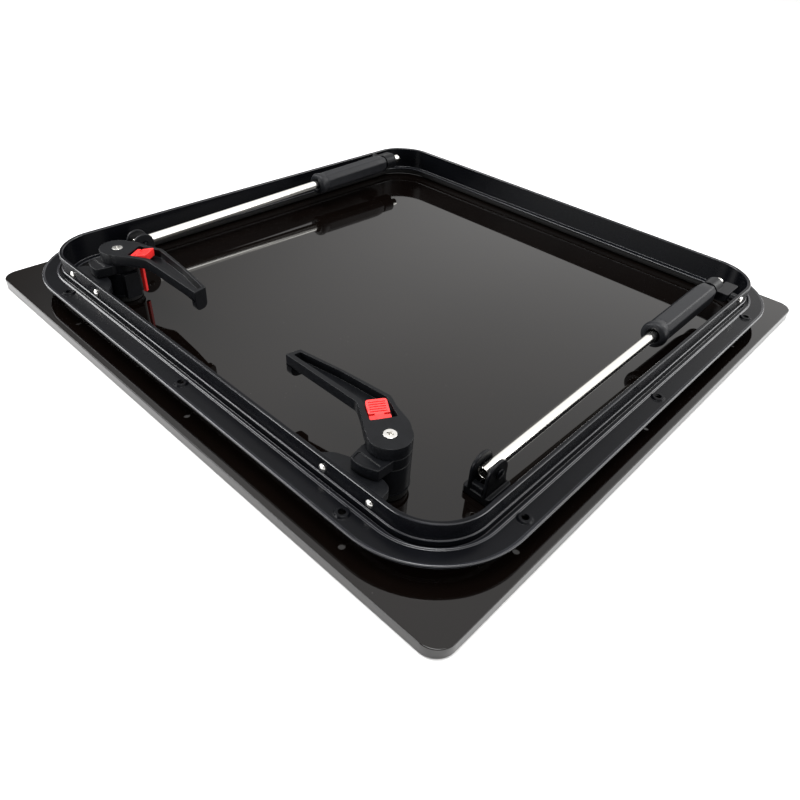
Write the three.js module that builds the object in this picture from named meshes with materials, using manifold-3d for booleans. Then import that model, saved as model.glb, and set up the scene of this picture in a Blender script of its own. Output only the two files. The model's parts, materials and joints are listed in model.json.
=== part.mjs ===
import * as THREE from "three";
import { mergeVertices } from "three/addons/utils/BufferGeometryUtils.js";
import Module from "manifold-3d";

// Deck hatch lying on its lid, in millimetres. z = 0 is the lid's outer face and +Z points into the boat.
// X runs along the wall with the latch keepers. That wall is on the -Y side and the hinges are on the +Y side.
// Everything on the left is the mirror image of the right, so only the right-hand pieces are drawn.

const LID = { x: 600, y: 603, top: 10, corner: 16, bevel: 0.8 };
const FRAME_Y = 2; // the frame sits a little nearer the hinges
const RIM = { half: 266, corner: 47, wall: 3.8 };
const FLANGE = { half: 289, corner: 82, top: 27.3 };
const CORNER_STEPS = 8;
const HOLES = { x: 191, y: 195, offset: 12.5, rowY: 4, bore: 2.7 };
const KEEPER = { back: -259.9, front: -244.4, top: 41, shelf: 34, bottom: 27 };
const RIVET = { xs: [158, 204], z: 37.2, shank: 1.6 };
const HANDLE = { x: 183, y: -225, hub: 16.4, baseScrew: 12.6 };
const LEVER = { bottom: 51.3, arm: 52, floor: 54, top: 61.5 };
const LOCK = { x: -22.8, y: 11.8, turn: -32, bottom: 57, top: 64 };
const STAY = { x: 235.5, pinY: -175, pinZ: 33.5, pivotY: 202, pivotZ: 41.5, tube: 5, bore: 4 };
const STAY_TILT = Math.atan2(STAY.pivotZ - STAY.pinZ, STAY.pivotY - STAY.pinY);
const PIVOT_X = { head: 266.3, wall: 261.9, tip: 256.2, gap: 0.7 };
const HINGE = { x: 150, y: 285, z: 19, knuckle: 4.2, pin: 2 };
const LID_SCREW = { head: 4, shank: 2, sunk: 0.3 };
const CLEAR = 0.3;

const LOOKS = {
  acrylic: { color: 0x14120f, roughness: 0.05 },
  anodised: { color: 0x0c0d10, metalness: 0.8, roughness: 0.3 },
  plastic: { color: 0x1b1b1d, roughness: 0.6 },
  red: { color: 0xb01217, roughness: 0.4 },
  steel: { color: 0xc9cbce, metalness: 1, roughness: 0.2 },
  rubber: { color: 0x111111, roughness: 0.9 },
};

const wasm = await Module();
wasm.setup();

function solid(geometry) {
  const bare = geometry.index ? geometry.toNonIndexed() : geometry.clone();
  bare.deleteAttribute("normal");
  bare.deleteAttribute("uv");
  const merged = mergeVertices(bare, 1e-4);
  const mesh = new wasm.Mesh({
    numProp: 3,
    vertProperties: merged.attributes.position.array,
    triVerts: new Uint32Array(merged.index.array),
  });
  return new wasm.Manifold(mesh);
}

function geometryOf(manifold) {
  const mesh = manifold.getMesh();
  const geometry = new THREE.BufferGeometry();
  geometry.setAttribute("position", new THREE.BufferAttribute(mesh.vertProperties, 3));
  geometry.setIndex(new THREE.BufferAttribute(mesh.triVerts, 1));
  geometry.computeVertexNormals();
  return geometry;
}

function join(...parts) {
  return geometryOf(parts.map(solid).reduce((a, b) => a.add(b)));
}

function cut(body, ...tools) {
  return geometryOf(tools.map(solid).reduce((a, b) => a.subtract(b), solid(body)));
}

// A solid turned about Z from [radius, z] points, listed outside upward and inside downward.
function turned(profile, steps = 18) {
  const points = profile.map(([r, z]) => new THREE.Vector2(r, z));
  return new THREE.LatheGeometry(points, steps).rotateX(Math.PI / 2);
}

function closed(profile) {
  return [...profile, profile[0]];
}

function cylinder(radius, z0, z1, steps) {
  return turned([[0, z0], [radius, z0], [radius, z1], [0, z1]], steps);
}

function tube(inner, outer, z0, z1, steps) {
  return turned(closed([[outer, z0], [outer, z1], [inner, z1], [inner, z0]]), steps);
}

// An upright prism from an [x, y] outline.
function prism(outline, z0, z1, bevel = 0) {
  const shape = new THREE.Shape(outline.map(([x, y]) => new THREE.Vector2(x, y)));
  const options = {
    depth: z1 - z0 - 2 * bevel,
    bevelEnabled: bevel > 0,
    bevelThickness: bevel,
    bevelSize: bevel,
    bevelOffset: -bevel,
    bevelSegments: 1,
  };
  return new THREE.ExtrudeGeometry(shape, options).translate(0, 0, z0 + bevel);
}

// A plate from an [x, z] outline, between two values of y.
function plateXZ(outline, y0, y1) {
  return prism(outline, -y1, -y0).rotateX(Math.PI / 2);
}

// A plate from a [y, z] outline, between two values of x.
function plateYZ(outline, x0, x1) {
  const axes = new THREE.Matrix4().makeBasis(
    new THREE.Vector3(0, 1, 0),
    new THREE.Vector3(0, 0, 1),
    new THREE.Vector3(1, 0, 0),
  );
  return prism(outline, x0, x1).applyMatrix4(axes);
}

function block(x0, x1, y0, y1, z0, z1) {
  return prism([[x0, y0], [x1, y0], [x1, y1], [x0, y1]], z0, z1);
}

function arc(cx, cy, radius, from, to, steps) {
  return Array.from({ length: steps + 1 }, (_, i) => {
    const angle = THREE.MathUtils.degToRad(from + ((to - from) * i) / steps);
    return [cx + radius * Math.cos(angle), cy + radius * Math.sin(angle)];
  });
}

function roundedRectangle(halfX, halfY, radius, steps) {
  const x = halfX - radius;
  const y = halfY - radius;
  return [
    ...arc(x, y, radius, 0, 90, steps),
    ...arc(-x, y, radius, 90, 180, steps),
    ...arc(-x, -y, radius, 180, 270, steps),
    ...arc(x, -y, radius, 270, 360, steps),
  ];
}

function alongX(geometry) {
  return geometry.rotateY(Math.PI / 2);
}

function alongY(geometry) {
  return geometry.rotateX(-Math.PI / 2);
}

// ---------- frame ----------

// The frame's outline at an offset outward from the rim's outer face. The flange's corners are rounder.
function frameRing(offset) {
  const spread = Math.max(offset, 0) / (FLANGE.half - RIM.half);
  const corner = offset > 0 ? RIM.corner + spread * (FLANGE.corner - RIM.corner) : RIM.corner + offset;
  const half = RIM.half + offset;
  return roundedRectangle(half, half, corner, CORNER_STEPS).map(([x, y]) => [x, y + FRAME_Y]);
}

// A ring swept round the frame from a closed profile of [offset, z] points.
function swept(profile) {
  const rings = profile.map(([offset, z]) => frameRing(offset).map(([x, y]) => [x, y, z]));
  const around = rings[0].length;
  const index = [];
  for (let i = 0; i < rings.length; i += 1) {
    const next = (i + 1) % rings.length;
    for (let j = 0; j < around; j += 1) {
      const beside = (j + 1) % around;
      const a = i * around + j;
      const b = i * around + beside;
      const c = next * around + beside;
      const d = next * around + j;
      index.push(a, b, c, a, c, d);
    }
  }
  const geometry = new THREE.BufferGeometry();
  geometry.setAttribute("position", new THREE.Float32BufferAttribute(rings.flat(2), 3));
  geometry.setIndex(index);
  return geometry;
}

const FRAME_PROFILE = [
  [22.4, 25], [23, 25.6], [23, 27.3], [22.4, 27.9], [21.2, 27.9], [20.6, FLANGE.top], // flange and its lip
  [6.6, FLANGE.top], [5.8, 28.1], [4.4, 28.1], [4, 27.5], [4, 24.5], [0.9, 24.5], // rib and groove
  [0.9, 30.5], [0.3, 31.1], [0, 31.1], [0, 45], // ledge and upstand
  [-0.6, 45.8], [-1.9, 46.1], [-3.2, 45.8], [-RIM.wall, 45], // rounded rim
  [-RIM.wall, 20.2], [-8, 19.6], [-8.4, 19.2], [-8.4, 17.6], [-8, 17.2], // inner foot
  [0.9, 17.2], [0.9, 22], [6.2, 22], [8, 24.6], [10, 25], // underside
];

const SEAL_PROFILE = [
  [0.4, 14], [0.4, 16.9], [-7.2, 16.9], [-7.2, 14],
  [-5.6, 11.2], [-4, 10.4], [-2.4, 10.4], [-0.8, 11.2],
];

function flangeHolePlaces() {
  const side = FLANGE.half - (FLANGE.half - RIM.half - HOLES.offset);
  const places = [];
  for (const step of [-1, 0, 1]) {
    for (const sign of [-1, 1]) {
      places.push([step * HOLES.x, FRAME_Y + sign * side]);
      places.push([sign * side, HOLES.rowY + step * HOLES.y]);
    }
  }
  return places;
}

function collar(x, y) {
  return turned([[0, 26.4], [6.2, 26.4], [6.2, FLANGE.top], [4.6, 28.9], [0, 28.9]], 12).translate(x, y, 0);
}

// The screw hole, countersunk from the side away from the collar.
function flangeHole(x, y) {
  const profile = [[0, 24], [5.3, 24], [5.3, 25], [HOLES.bore, 27], [HOLES.bore, 30], [0, 30]];
  return turned(profile, 12).translate(x, y, 0);
}

function wallHoles(sign) {
  const rivets = RIVET.xs.map((x) =>
    alongY(cylinder(RIVET.shank + CLEAR, -268, -258, 12)).translate(sign * x, 0, RIVET.z),
  );
  const bolt = alongX(cylinder(2.5, 258, 270, 16));
  bolt.translate(0, STAY.pivotY, STAY.pivotZ);
  return [...rivets, sign > 0 ? bolt : bolt.rotateZ(Math.PI).translate(0, 2 * STAY.pivotY, 0)];
}

function hingeScrewHoles(sign) {
  return [-25.5, 25.5].map((dx) => cylinder(1.9, 24, 26.7, 12).translate(sign * HINGE.x + dx, 284, 0));
}

function frameBody() {
  const places = flangeHolePlaces();
  const ring = join(swept(FRAME_PROFILE), ...places.map(([x, y]) => collar(x, y)));
  const tools = places.map(([x, y]) => flangeHole(x, y));
  for (const sign of [-1, 1]) tools.push(...wallHoles(sign), ...hingeScrewHoles(sign));
  return cut(ring, ...tools);
}

// ---------- keepers ----------

function keeper() {
  const plan = [
    [145, KEEPER.back], [209, KEEPER.back], [207.1, -249.6], [203.3, -246],
    [197.9, KEEPER.front], [166.5, KEEPER.front - 0.5], [154.9, -249.8],
  ];
  const shelf = prism(plan, KEEPER.shelf, KEEPER.top, 0.6);
  const back = block(147, 207, KEEPER.back, -257, KEEPER.bottom, KEEPER.shelf + 1);
  const holes = RIVET.xs.map((x) =>
    alongY(cylinder(RIVET.shank + CLEAR, -262, -252.5, 12)).translate(x, 0, RIVET.z),
  );
  return cut(join(shelf, back), ...holes);
}

function rivet(x) {
  const head = [[0, -1.9], [1.4, -1.8], [2.6, -1.3], [3.3, -0.3 - CLEAR], [3.3, -CLEAR]];
  const shank = [[RIVET.shank, -CLEAR], [RIVET.shank, 11], [0, 11]];
  const wall = FRAME_Y - RIM.half;
  return alongY(turned([...head, ...shank], 12)).translate(x, wall, RIVET.z);
}

// ---------- handles, drawn about their own axis with the lever toward -X ----------

function socket(radius, z0, z1) {
  return cylinder(radius, z0, z1, 6);
}

// A countersunk screw put in from the lid's outer face.
function lidScrew(top) {
  const { head, shank, sunk } = LID_SCREW;
  const body = turned([[0, sunk], [head, sunk], [shank, sunk + head - shank], [shank, top], [0, top]], 12);
  return cut(body, socket(1.4, -1, sunk + 1.3));
}

function lidScrewHole() {
  const { head, shank } = LID_SCREW;
  return turned([[0, -1], [head + 1.5, -1], [shank + CLEAR, 2.6], [shank + CLEAR, 11], [0, 11]], 12);
}

function blindHole(x, y, top) {
  return cylinder(LID_SCREW.shank + CLEAR, 9, top, 12).translate(x, y, 0);
}

function handleBase() {
  const { hub, baseScrew } = HANDLE;
  const column = turned(closed([
    [hub, 16.2], [hub, 40.9], [hub - 0.6, 41.5], [6.4, 41.5], [6.4, 18.7], [9.6, 18.7], [9.6, 16.2],
  ]), 24);
  const boss = prism([[-20, -8], [-11, -8], [-11, 7], [-20, 7]], 16.2, 41.5, 0.6);
  return cut(join(column, boss), blindHole(-baseScrew, 0, 30), blindHole(baseScrew, 0, 30));
}

function handleGasket() {
  const { baseScrew } = HANDLE;
  return cut(tube(9.6, 15.8, 10.3, 15.9, 24), blindHole(-baseScrew, 0, 17), blindHole(baseScrew, 0, 17));
}

function spindle() {
  return turned([
    [0, 10.4], [9.2, 10.4], [9.2, 18.4], [6, 18.4], [6, 51], [4.5, 51], [4.5, 57], [2.3, 57], [2.3, 44], [0, 44],
  ]);
}

function tongue() {
  const nose = [
    [10, 0], [-10, 0], [-12.9, -14.1], [-9, -28.8], [-2.8, -29.2], [3, -28.4], [8.5, -26.6], [13.3, -24.1],
    [13.3, -6],
  ];
  const plate = join(prism(nose, 42, 50.9), cylinder(HANDLE.hub, 42, 50.9, 24));
  return cut(plate, cylinder(6.4, 41, 52));
}

function lever() {
  const arm = [
    [-120.5, 7], [-40, 6.9], [-28.5, -0.3], [-11.5, -11.7], [0, -12], [8.4, 14.6], [0, 19.9], [-17.4, 25.2],
    [-28.7, 30.8], [-74.7, 26.4], [-118, 20],
  ];
  const pocket = [
    [-116, 11.3], [-39.8, 11.3], [-19.3, -0.6], [-9.3, 17.7], [-30.3, 27.2], [-75.2, 23.9], [-115, 17.5],
  ];
  const hook = [
    [-120.2, 53], [-120.2, 45], [-119.4, 42.8], [-117, 42], [-114.8, 42.8], [-114.2, 45], [-112.5, 53],
  ];
  const { hub } = HANDLE;
  const { bottom, top } = LEVER;
  const disc = turned([[0, bottom], [hub, bottom], [hub, top - 0.6], [hub - 0.6, top], [0, top]], 24);
  const body = join(prism(arm, LEVER.arm, top, 0.6), disc, plateXZ(hook, 7.8, 18.8));
  const screwSeat = turned([
    [0, 50], [4.9, 50], [4.9, 57.4], [2.4, 57.4], [2.4, 58.4], [6.4, 62.4], [0, 62.4],
  ]);
  return cut(body, prism(pocket, LEVER.floor, top + 1), screwSeat, ontoLock(block(3.8, 7.9, 3.9, 8.5, 51, 55)));
}

function leverScrew() {
  const body = turned([[0, 46], [2, 46], [2, 58.4], [4.9, 61.3], [0, 61.3]]);
  return cut(body, socket(2, 59, 62));
}

// Moves a shape drawn about the lock button's middle into the handle's own coordinates.
function ontoLock(geometry) {
  return geometry.rotateZ(THREE.MathUtils.degToRad(LOCK.turn)).translate(LOCK.x, LOCK.y, 0);
}

// A pad with three grooves, a neck and a bar. A leg runs down from the bar beside the column.
function lockButton() {
  const plan = [
    [-10, -6.5], [-8.5, -8], [2, -8], [2, -5.6], [4.2, -5.6], [4.2, -8], [7.7, -8], [7.7, 8], [4.2, 8],
    [4.2, 5.6], [2, 5.6], [2, 8], [-8.5, 8], [-10, 6.5],
  ];
  const pad = prism(plan, LOCK.bottom, LOCK.top, 0.5);
  const leg = block(4.3, 7.4, 4.4, 8, 16, LOCK.bottom + 2);
  const grooves = [-7.4, -4.4, -1.4].map((x) => block(x - 0.5, x + 0.5, -6, 6, LOCK.top - 0.8, LOCK.top + 1));
  return ontoLock(cut(join(pad, leg), cylinder(3.9, 56, 61.4, 12).translate(-3.5, 0, 0), ...grooves));
}

class Helix extends THREE.Curve {
  constructor(radius, z0, z1, turns) {
    super();
    Object.assign(this, { radius, z0, z1, turns });
  }

  getPoint(t, target = new THREE.Vector3()) {
    const angle = 2 * Math.PI * this.turns * t;
    const z = this.z0 + (this.z1 - this.z0) * t;
    return target.set(this.radius * Math.cos(angle), this.radius * Math.sin(angle), z);
  }
}

function lockSpring() {
  const wire = 0.45;
  const path = new Helix(2.9, LEVER.floor + CLEAR + wire, 60.6, 3.5);
  const section = new THREE.Shape(arc(0, 0, wire, 0, 288, 4).map(([x, y]) => new THREE.Vector2(x, y)));
  const coil = new THREE.ExtrudeGeometry(section, { steps: 36, extrudePath: path, bevelEnabled: false });
  return ontoLock(coil.translate(-3.5, 0, 0));
}

// ---------- stays ----------

// Moves a shape drawn along Z from the clevis pin onto the stay's line.
function alongStay(geometry) {
  return geometry.rotateX(STAY_TILT - Math.PI / 2).translate(STAY.x, STAY.pinY, STAY.pinZ);
}

function acrossStay(geometry) {
  return alongX(geometry).translate(STAY.x, STAY.pinY, STAY.pinZ);
}

function stayBracket() {
  const ear = [[-188, 12], [-160, 12], [-162, 17], [-164, 28], ...arc(-176, 32.5, 12, 0, 180, 10)];
  const base = prism(roundedRectangle(12.5, 14, 3, 3), 10.3, 17, 0.5).translate(STAY.x, -174, 0);
  const ears = [-8.4, 5.4].map((dx) => plateYZ(ear, STAY.x + dx, STAY.x + dx + 3));
  const screws = [-182, -166].map((y) => blindHole(STAY.x, y, 15.4));
  return cut(join(base, ...ears), acrossStay(cylinder(2.7, -12, 12, 12)), ...screws);
}

function stayPin() {
  return acrossStay(turned([[0, -9.9], [2.1, -9.9], [2.4, -9.6], [2.4, 8.7], [4.2, 8.7], [4.2, 9.7], [3.6, 10.3],
    [0, 10.3]], 12));
}

function stayTube() {
  const body = alongStay(tube(STAY.bore, STAY.tube, -8, 397, 24));
  return cut(body, acrossStay(cylinder(2.7, -12, 12, 12)));
}

// Slides on the tube and reaches out to the bolt on the frame's wall.
function stayBlock() {
  const reach = PIVOT_X.tip - PIVOT_X.gap - STAY.x;
  const collarPart = cylinder(9.6, 369, 386, 24);
  const lug = (x, z0, z1) => prism([
    [x, -3.4], [reach - 2, -3.4], [reach, -1.4], [reach, 3], [reach - 3, 6], [x, 6],
  ], z0, z1);
  const body = join(collarPart, lug(0, 370, 386), lug(6.6, 385, 398));
  return alongStay(cut(body, cylinder(STAY.tube + 0.4, 360, 410, 24)));
}

// Twist sleeve: a round mouth and a flat-sided body.
function stayGrip() {
  const mouth = turned(closed([
    [7.6, 247], [10.6, 247], [12.3, 248.6], [12.8, 251], [12.4, 255], [11.2, 259], [5.4, 259], [5.4, 250],
  ]));
  const section = [
    [6.4, -10.4], [10.8, -5], [10.8, 5], [6.4, 10.6], [-6.4, 10.6], [-10.8, 5], [-10.8, -5], [-6.4, -10.4],
  ];
  const body = prism(section, 257, 368, 0.8);
  return alongStay(cut(join(mouth, body), cylinder(5.4, 249, 370, 24)));
}

function frameBolt() {
  const { head, wall, tip } = PIVOT_X;
  const profile = [[0, tip], [4, tip], [4, wall], [2.2, wall], [2.2, head], [3.5, head], [3.5, head + 1.2],
    [2.6, head + 2], [0, head + 2]];
  return alongX(turned(profile, 12)).translate(0, STAY.pivotY, STAY.pivotZ);
}

// ---------- hinges, drawn about x = 0 ----------

function knuckle(x0, x1) {
  return alongX(cylinder(HINGE.knuckle, x0, x1, 12)).translate(0, HINGE.y, HINGE.z);
}

function hingeBore() {
  return alongX(cylinder(HINGE.pin + CLEAR, -40, 40, 12)).translate(0, HINGE.y, HINGE.z);
}

function lidLeaf() {
  const plate = prism(roundedRectangle(20, 12.75, 2, 2), 10.3, 12.8).translate(0, 283.25, 0);
  const ends = [[-20, -10], [10, 20]].flatMap(([a, b]) => [knuckle(a, b), block(a, b, 281, 287.5, 12, HINGE.z)]);
  const screws = [-13, 13].map((x) => blindHole(x, 275.5, 14));
  return cut(join(plate, ...ends), hingeBore(), ...screws);
}

function frameLeaf() {
  const plate = prism(roundedRectangle(31, 5, 2, 2), 23.5, 24.7).translate(0, 284, 0);
  const web = block(-9.6, 9.6, 282, 288, HINGE.z, 24);
  const screws = [-25.5, 25.5].map((x) => cylinder(1.9, 23, 25, 12).translate(x, 284, 0));
  return cut(join(plate, knuckle(-9.6, 9.6), web), hingeBore(), ...screws);
}

function hingePin() {
  const half = 21;
  const profile = [[0, -half], [1.6, -half], [2, 0.4 - half], [2, half - 0.4], [1.6, half], [0, half]];
  return alongX(turned(profile, 16)).translate(0, HINGE.y, HINGE.z);
}

function frameLeafScrew(x) {
  const profile = [[0, 21.6], [2.6, 21.6], [3.4, 22.3], [3.4, 23.2], [1.6, 23.2], [1.6, 26.4], [0, 26.4]];
  return turned(profile, 12).translate(x, 284, 0);
}

// ---------- lid ----------

function lidPanel(screwPlaces) {
  const outline = roundedRectangle(LID.x / 2, LID.y / 2, LID.corner, 6);
  const holes = screwPlaces.flatMap(([x, y]) => [-1, 1].map((sign) => lidScrewHole().translate(sign * x, y, 0)));
  return cut(prism(outline, 0, LID.top, LID.bevel), ...holes);
}

// ---------- assembly ----------

const { x: hx, y: hy, baseScrew } = HANDLE;
const BASE_SCREWS = [[hx - baseScrew, hy], [hx + baseScrew, hy]];
const BRACKET_SCREWS = [[STAY.x, -182], [STAY.x, -166]];
const LEAF_SCREWS = [[HINGE.x - 13, 275.5], [HINGE.x + 13, 275.5]];

function mesh(name, geometry, look) {
  const item = new THREE.Mesh(geometry, new THREE.MeshStandardMaterial(LOOKS[look]));
  item.name = name;
  return item;
}

function screws(name, places, top) {
  return places.map(([x, y], i) => mesh(`${name}_${i + 1}`, lidScrew(top).translate(x, y, 0), "steel"));
}

function handlePieces(side) {
  const name = (piece) => `handle_${side}_${piece}`;
  const pieces = [
    mesh(name("base"), handleBase(), "plastic"),
    mesh(name("gasket"), handleGasket(), "rubber"),
    mesh(name("spindle"), spindle(), "steel"),
    mesh(name("tongue"), tongue(), "plastic"),
    mesh(name("lever"), lever(), "plastic"),
    mesh(name("lever_screw"), leverScrew(), "steel"),
    mesh(name("lock_button"), lockButton(), "red"),
    mesh(name("lock_spring"), lockSpring(), "steel"),
  ];
  for (const piece of pieces) piece.position.set(HANDLE.x, HANDLE.y, 0);
  return [...pieces, ...screws(name("base_screw"), BASE_SCREWS, 26)];
}

function stayPieces(side) {
  const name = (piece) => `stay_${side}_${piece}`;
  return [
    mesh(name("bracket"), stayBracket(), "plastic"),
    mesh(name("pin"), stayPin(), "steel"),
    mesh(name("tube"), stayTube(), "steel"),
    mesh(name("block"), stayBlock(), "plastic"),
    mesh(name("grip"), stayGrip(), "plastic"),
    mesh(name("frame_bolt"), frameBolt(), "steel"),
    ...screws(name("bracket_screw"), BRACKET_SCREWS, 15),
  ];
}

function hingePieces(side) {
  const name = (piece) => `hinge_${side}_${piece}`;
  const pieces = [
    mesh(name("lid_leaf"), lidLeaf(), "anodised"),
    mesh(name("frame_leaf"), frameLeaf(), "anodised"),
    mesh(name("pin"), hingePin(), "steel"),
    mesh(name("frame_screw_1"), frameLeafScrew(-25.5), "steel"),
    mesh(name("frame_screw_2"), frameLeafScrew(25.5), "steel"),
  ];
  for (const piece of pieces) piece.position.set(HINGE.x, 0, 0);
  return [...pieces, ...screws(name("lid_screw"), LEAF_SCREWS, 12.5)];
}

function keeperPieces(side) {
  const rivets = RIVET.xs.map((x, i) => mesh(`keeper_${side}_rivet_${i + 1}`, rivet(x), "steel"));
  return [mesh(`keeper_${side}`, keeper(), "plastic"), ...rivets];
}

const hatch = new THREE.Group();
hatch.add(
  mesh("lid_panel", lidPanel([...BASE_SCREWS, ...BRACKET_SCREWS, ...LEAF_SCREWS]), "acrylic"),
  mesh("frame", frameBody(), "anodised"),
  mesh("frame_seal", swept(SEAL_PROFILE), "rubber"),
);
for (const [side, sign] of [["right", 1], ["left", -1]]) {
  const half = new THREE.Group();
  half.scale.x = sign;
  half.add(...handlePieces(side), ...stayPieces(side), ...hingePieces(side), ...keeperPieces(side));
  hatch.add(half);
}

export default hatch;
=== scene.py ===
import json
import math

import bmesh
import bpy
from mathutils import Matrix, Vector


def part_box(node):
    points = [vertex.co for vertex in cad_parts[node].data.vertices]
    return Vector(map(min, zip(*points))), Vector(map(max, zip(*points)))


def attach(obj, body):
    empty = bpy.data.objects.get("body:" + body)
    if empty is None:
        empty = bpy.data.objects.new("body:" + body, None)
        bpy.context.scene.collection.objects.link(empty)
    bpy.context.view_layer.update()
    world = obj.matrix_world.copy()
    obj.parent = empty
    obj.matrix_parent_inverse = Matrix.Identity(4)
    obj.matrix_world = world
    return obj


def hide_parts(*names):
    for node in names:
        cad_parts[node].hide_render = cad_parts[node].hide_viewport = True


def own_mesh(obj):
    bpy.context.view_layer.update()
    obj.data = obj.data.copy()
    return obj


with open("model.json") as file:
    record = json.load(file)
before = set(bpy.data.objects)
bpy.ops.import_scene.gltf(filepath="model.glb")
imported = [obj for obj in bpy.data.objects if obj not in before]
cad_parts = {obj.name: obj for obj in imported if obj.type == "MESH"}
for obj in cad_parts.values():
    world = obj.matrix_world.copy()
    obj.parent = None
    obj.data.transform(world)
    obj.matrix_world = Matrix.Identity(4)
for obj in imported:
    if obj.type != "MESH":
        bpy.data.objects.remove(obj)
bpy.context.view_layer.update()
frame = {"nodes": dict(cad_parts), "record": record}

# Shapes are drawn in millimetres in the CAD frame: z = 0 is the lid's outer face, +Z points into the boat,
# -Y is the handle side and +Y the hinge side. The right-hand pieces are drawn and mirrored for the left.
MM = 0.001


def in_mm(point):
    return tuple(round(v / MM, 1) for v in point)


def centre(node):
    """The middle of a CAD node in millimetres."""
    low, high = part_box(node)
    return in_mm((low + high) / 2)


SIDES = (("right", 1), ("left", -1))
SIGNS = (1, -1)
CORNER_STEPS = 24

LID_X, LID_Y, LID_TOP = in_mm(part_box("lid_panel")[1])
LID_CORNER = 16

FRAME_Y = centre("frame")[1]
RIM_HALF, RIM_CORNER, WALL = 266, 47, 3.8
FLANGE_HALF, FLANGE_CORNER, FLANGE_TOP = in_mm(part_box("frame")[1])[0], 82, 27.3
HOLE_OFFSET, HOLE_X, HOLE_Y, HOLE_ROW_Y, HOLE_RADIUS = 12.5, 191, 195, 4, 2.7

SCREW_HOLE, RIVET_HOLE, BOLT_HOLE = 2.3, 1.9, 2.5
RIVETS = [centre(f"keeper_right_rivet_{number}") for number in (1, 2)]
RIVET_XS, RIVET_Z = [x for x, y, z in RIVETS], RIVETS[0][2]
BASE_SCREWS = [centre(f"handle_right_base_screw_{number}")[:2] for number in (1, 2)]
FORK_SCREWS = [centre(f"stay_right_bracket_screw_{number}")[:2] for number in (1, 2)]
LEAF_SCREWS = [centre(f"hinge_right_lid_screw_{number}")[:2] for number in (1, 2)]
FLANGE_SCREWS = [centre(f"hinge_right_frame_screw_{number}")[:2] for number in (1, 2)]

HANDLE_AT = centre("handle_right_lever_screw")[:2]
HUB, SPINDLE_HOLE = 16.4, 6.4
COLUMN_FOOT, COLUMN_TOP = 16.2, 41.5
TONGUE_BOTTOM, TONGUE_TOP = 42, 50.9
LEVER_BOTTOM, LEVER_TOP, POCKET_BOTTOM = 52, 61.5, 54
LEVER_END = ((-120.5, 7), (-118, 20))
HOOK_BOTTOM, HOOK_RADIUS, HOOK_DEPTH = 42, 5, 6.7
LOCK_AT, LOCK_TURN = (-22.8, 11.8), -32
SPRING_X = -3.5

STAY_X = centre("stay_right_bracket")[0]
PIN_Y, PIN_Z = centre("stay_right_pin")[1:]
PIVOT_Y, PIVOT_Z = centre("stay_right_frame_bolt")[1:]
STAY_TILT = math.atan2(PIVOT_Z - PIN_Z, PIVOT_Y - PIN_Y)
PIN_HOLE, TUBE_HOLE = 2.7, 5.4
BLOCK_START, BLOCK_END = 369, 386

HINGE_X, HINGE_Y, HINGE_Z = centre("hinge_right_pin")
HINGE_BORE = 2.3


# ---------- shapes: a list of points and a list of faces ----------

class Shape:
    def __init__(self, points, faces):
        self.points = [Vector(p) for p in points]
        self.faces = [tuple(f) for f in faces]

    def moved(self, matrix):
        turned_over = matrix.determinant() < 0
        faces = [tuple(reversed(f)) for f in self.faces] if turned_over else self.faces
        return Shape([matrix @ p for p in self.points], faces)

    def at(self, x=0, y=0, z=0):
        return self.moved(Matrix.Translation((x, y, z)))

    def turned(self, degrees, axis):
        return self.moved(Matrix.Rotation(math.radians(degrees), 4, axis))

    def __add__(self, other):
        start = len(self.points)
        faces = self.faces + [tuple(i + start for i in f) for f in other.faces]
        return Shape(self.points + other.points, faces)


def several(shapes):
    total = Shape([], [])
    for shape in shapes:
        total = total + shape
    return total


def lathe(profile, steps=48):
    """A solid about Z from (radius, z) points that go up on the outside.

    The points start and end on the axis, or the last one joins the first.
    """
    on_axis = profile[0][0] == 0 and profile[-1][0] == 0
    angles = [2 * math.pi * i / steps for i in range(steps)]
    points, rows = [], []
    for r, z in profile:
        if r == 0:
            rows.append([len(points)] * steps)
            points.append((0, 0, z))
            continue
        rows.append([len(points) + i for i in range(steps)])
        points += [(r * math.cos(a), r * math.sin(a), z) for a in angles]
    pairs = list(zip(rows, rows[1:])) + ([] if on_axis else [(rows[-1], rows[0])])
    faces = []
    for low, high in pairs:
        for i in range(steps):
            j = (i + 1) % steps
            corners = []
            for corner in (low[i], low[j], high[j], high[i]):
                if corner not in corners:
                    corners.append(corner)
            if len(corners) > 2:
                faces.append(corners)
    return Shape(points, faces)


def cylinder(radius, z0, z1, steps=48):
    return lathe([(0, z0), (radius, z0), (radius, z1), (0, z1)], steps)


def prism(outline, z0, z1):
    """An upright prism from an outline of (x, y) points."""
    count = len(outline)
    area = sum(a[0] * b[1] - b[0] * a[1] for a, b in zip(outline, outline[1:] + outline[:1]))
    if area < 0:
        outline = outline[::-1]
    points = [(x, y, z0) for x, y in outline] + [(x, y, z1) for x, y in outline]
    faces = [tuple(range(count))[::-1], tuple(range(count, 2 * count))]
    faces += [(i, (i + 1) % count, count + (i + 1) % count, count + i) for i in range(count)]
    return Shape(points, faces)


def prism_xz(outline, y0, y1):
    return prism(outline, -y1, -y0).turned(90, "X")


def prism_yz(outline, x0, x1):
    swap = Matrix(((0, 0, 1, 0), (1, 0, 0, 0), (0, 1, 0, 0), (0, 0, 0, 1)))
    return prism(outline, x0, x1).moved(swap)


def box(x0, x1, y0, y1, z0, z1):
    return prism([(x0, y0), (x1, y0), (x1, y1), (x0, y1)], z0, z1)


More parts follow.
